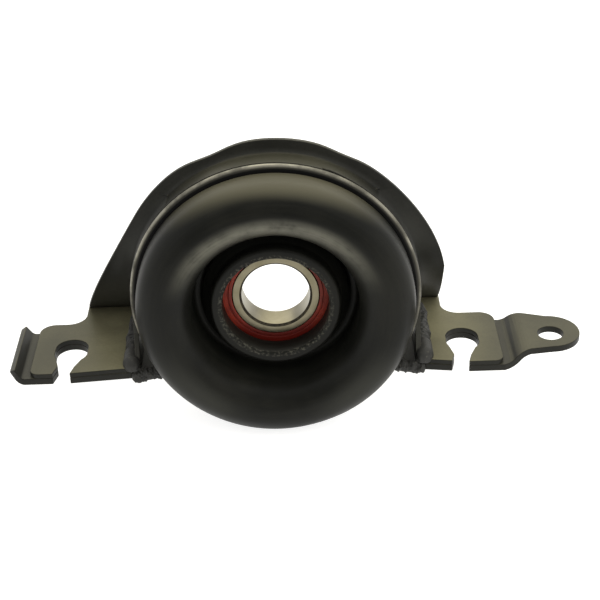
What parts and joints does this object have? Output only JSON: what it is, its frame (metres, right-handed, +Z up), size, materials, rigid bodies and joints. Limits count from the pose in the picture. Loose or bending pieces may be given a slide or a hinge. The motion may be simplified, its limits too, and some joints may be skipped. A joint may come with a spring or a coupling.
{
  "type": "driveshaft centre bearing",
  "caption": "Sealed ball bearing in a domed rubber ring, held by a pressed steel bracket with slotted feet; carries the middle of a two-piece driveshaft.",
  "frame": {"origin": "centre of the bearing on the shaft axis", "axes": "+Y along the shaft axis to the rear, +Z up, +X to the side with the raised arm"},
  "size_m": [0.2558, 0.0804, 0.1335],
  "materials": {
    "black_coat": "satin black coating",
    "weld": "rough black coating",
    "sleeve_steel": "satin black coating",
    "black_rubber": "moulded matt",
    "bearing_steel": "ground",
    "cage_steel": "pressed",
    "red_seal": "moulded satin"
  },
  "bodies": {
    "housing": {"upper_bracket": "black_coat", "lower_bracket": "black_coat", "weld_bead_left": "weld", "weld_bead_right": "weld", "outer_sleeve": "sleeve_steel", "rubber_cushion": "black_rubber", "bearing_outer_race": "bearing_steel", "front_seal": "red_seal", "rear_seal": "red_seal"},
    "inner_race": {"bearing_inner_race": "bearing_steel"},
    "cage": {"cage_front_half": "cage_steel", "cage_rear_half": "cage_steel", "cage_rivets": "cage_steel"},
    "ball_01": {"ball_01": "bearing_steel"},
    "ball_02": {"ball_02": "bearing_steel"},
    "ball_03": {"ball_03": "bearing_steel"},
    "ball_04": {"ball_04": "bearing_steel"},
    "ball_05": {"ball_05": "bearing_steel"},
    "ball_06": {"ball_06": "bearing_steel"},
    "ball_07": {"ball_07": "bearing_steel"},
    "ball_08": {"ball_08": "bearing_steel"},
    "ball_09": {"ball_09": "bearing_steel"},
    "ball_10": {"ball_10": "bearing_steel"},
    "ball_11": {"ball_11": "bearing_steel"}
  },
  "joints": [
    {"name": "inner_race_spin", "type": "hinge", "parent": "housing", "child": "inner_race", "pos_m": [0, 0, 0], "axis": [0, 1, 0], "continuous": true},
    {"name": "cage_spin", "type": "hinge", "parent": "housing", "child": "cage", "pos_m": [0, 0, 0], "axis": [0, 1, 0], "continuous": true},
    {"name": "ball_01_spin", "type": "hinge", "parent": "cage", "child": "ball_01", "pos_m": [0.02125, 0, 0], "axis": [0, 1, 0], "continuous": true},
    {"name": "ball_02_spin", "type": "hinge", "parent": "cage", "child": "ball_02", "pos_m": [0.01788, 0, -0.01149], "axis": [0, 1, 0], "continuous": true},
    {"name": "ball_03_spin", "type": "hinge", "parent": "cage", "child": "ball_03", "pos_m": [0.00883, 0, -0.01933], "axis": [0, 1, 0], "continuous": true},
    {"name": "ball_04_spin", "type": "hinge", "parent": "cage", "child": "ball_04", "pos_m": [-0.00302, 0, -0.02103], "axis": [0, 1, 0], "continuous": true},
    {"name": "ball_05_spin", "type": "hinge", "parent": "cage", "child": "ball_05", "pos_m": [-0.01392, 0, -0.01606], "axis": [0, 1, 0], "continuous": true},
    {"name": "ball_06_spin", "type": "hinge", "parent": "cage", "child": "ball_06", "pos_m": [-0.02039, 0, -0.00599], "axis": [0, 1, 0], "continuous": true},
    {"name": "ball_07_spin", "type": "hinge", "parent": "cage", "child": "ball_07", "pos_m": [-0.02039, 0, 0.00599], "axis": [0, 1, 0], "continuous": true},
    {"name": "ball_08_spin", "type": "hinge", "parent": "cage", "child": "ball_08", "pos_m": [-0.01392, 0, 0.01606], "axis": [0, 1, 0], "continuous": true},
    {"name": "ball_09_spin", "type": "hinge", "parent": "cage", "child": "ball_09", "pos_m": [-0.00302, 0, 0.02103], "axis": [0, 1, 0], "continuous": true},
    {"name": "ball_10_spin", "type": "hinge", "parent": "cage", "child": "ball_10", "pos_m": [0.00883, 0, 0.01933], "axis": [0, 1, 0], "continuous": true},
    {"name": "ball_11_spin", "type": "hinge", "parent": "cage", "child": "ball_11", "pos_m": [0.01788, 0, 0.01149], "axis": [0, 1, 0], "continuous": true}
  ],
  "couplings": [
    {"joint": "cage_spin", "follows": "inner_race_spin", "ratio": 0.38794},
    {"joint": "ball_01_spin", "follows": "inner_race_spin", "ratio": -2.1189},
    {"joint": "ball_02_spin", "follows": "inner_race_spin", "ratio": -2.1189},
    {"joint": "ball_03_spin", "follows": "inner_race_spin", "ratio": -2.1189},
    {"joint": "ball_04_spin", "follows": "inner_race_spin", "ratio": -2.1189},
    {"joint": "ball_05_spin", "follows": "inner_race_spin", "ratio": -2.1189},
    {"joint": "ball_06_spin", "follows": "inner_race_spin", "ratio": -2.1189},
    {"joint": "ball_07_spin", "follows": "inner_race_spin", "ratio": -2.1189},
    {"joint": "ball_08_spin", "follows": "inner_race_spin", "ratio": -2.1189},
    {"joint": "ball_09_spin", "follows": "inner_race_spin", "ratio": -2.1189},
    {"joint": "ball_10_spin", "follows": "inner_race_spin", "ratio": -2.1189},
    {"joint": "ball_11_spin", "follows": "inner_race_spin", "ratio": -2.1189}
  ]
}
